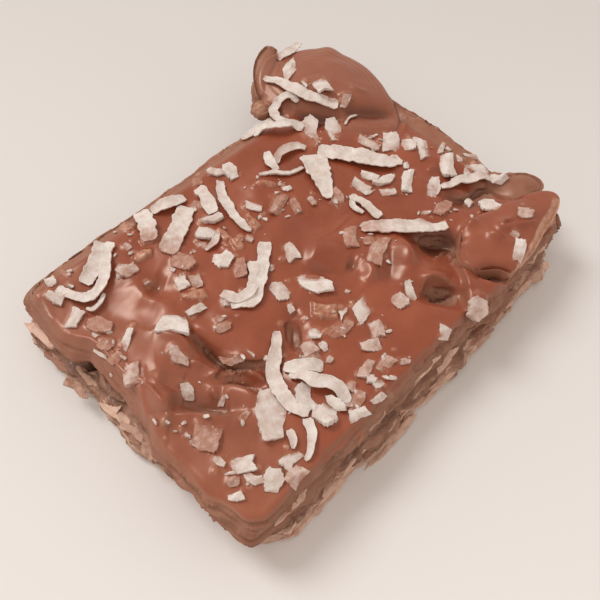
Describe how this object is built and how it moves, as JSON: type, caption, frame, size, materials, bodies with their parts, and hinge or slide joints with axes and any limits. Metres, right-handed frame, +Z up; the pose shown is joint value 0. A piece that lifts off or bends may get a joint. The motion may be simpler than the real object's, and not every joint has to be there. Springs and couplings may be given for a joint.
{
  "type": "coconut nut bar",
  "caption": "Hand-cut coconut nut bar: flaky lower layer under a wavy layer of milk chocolate, strewn with coconut shreds and chips, with run-over chocolate at two corners.",
  "frame": {"origin": "on the flat underside, near the middle of the cut piece, at the height of the surface that it rests on", "axes": "+X along the long side, towards the end with the run-over chocolate; +Z up, away from the surface; the torn, slanted cut side faces -Y"},
  "size_m": [0.0799, 0.0664, 0.0136],
  "materials": {
    "milk_chocolate": "set milk chocolate, smooth with a soft gloss, with shreds and chips of dried coconut on it",
    "nut_and_coconut_layer": "chocolate set with nuts and coconut, torn and matte at its cut sides"
  },
  "bodies": {
    "root": {"chocolate_topping": "milk_chocolate", "coconut_nut_base": "nut_and_coconut_layer"}
  },
  "joints": []
}
